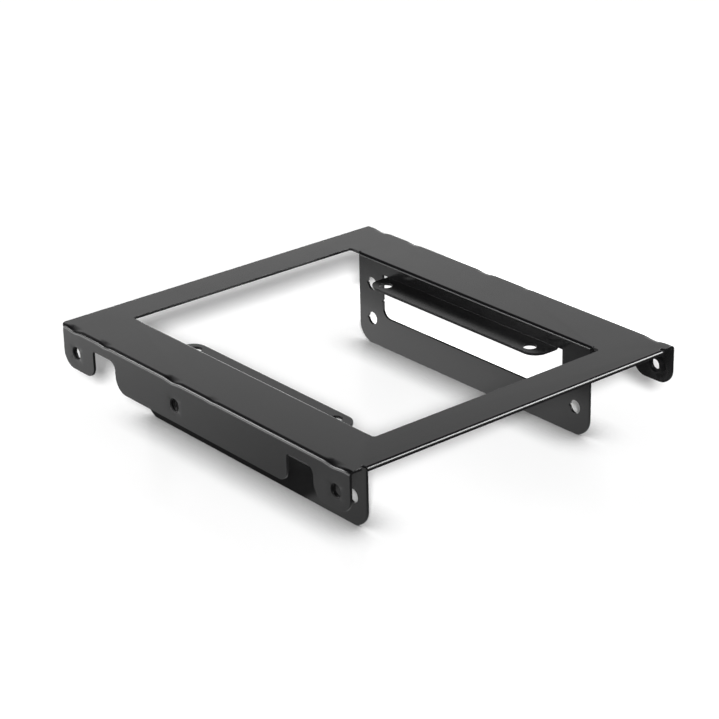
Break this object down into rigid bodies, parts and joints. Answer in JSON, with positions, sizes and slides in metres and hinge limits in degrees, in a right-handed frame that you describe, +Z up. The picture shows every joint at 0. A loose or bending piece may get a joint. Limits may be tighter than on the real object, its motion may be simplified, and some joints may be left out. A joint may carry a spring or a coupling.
{
  "type": "drive bay adapter bracket",
  "caption": "Folded sheet-metal adapter: open rectangular plate with tapped side flanges, and inner walls with shelves that hold small drives in a wider drive bay.",
  "frame": {"origin": "middle of the whole piece seen from above, at the level of the inner walls' lower edges, which it stands on", "axes": "+X across the bay from the left flange to the right flange, +Y along the drives from the front lip to the plain rear edge, +Z up to the plate"},
  "size_m": [0.1016, 0.1138, 0.0247],
  "materials": {
    "black_paint": "semi-gloss"
  },
  "bodies": {
    "root": {"adapter_bracket": "black_paint"}
  },
  "joints": []
}
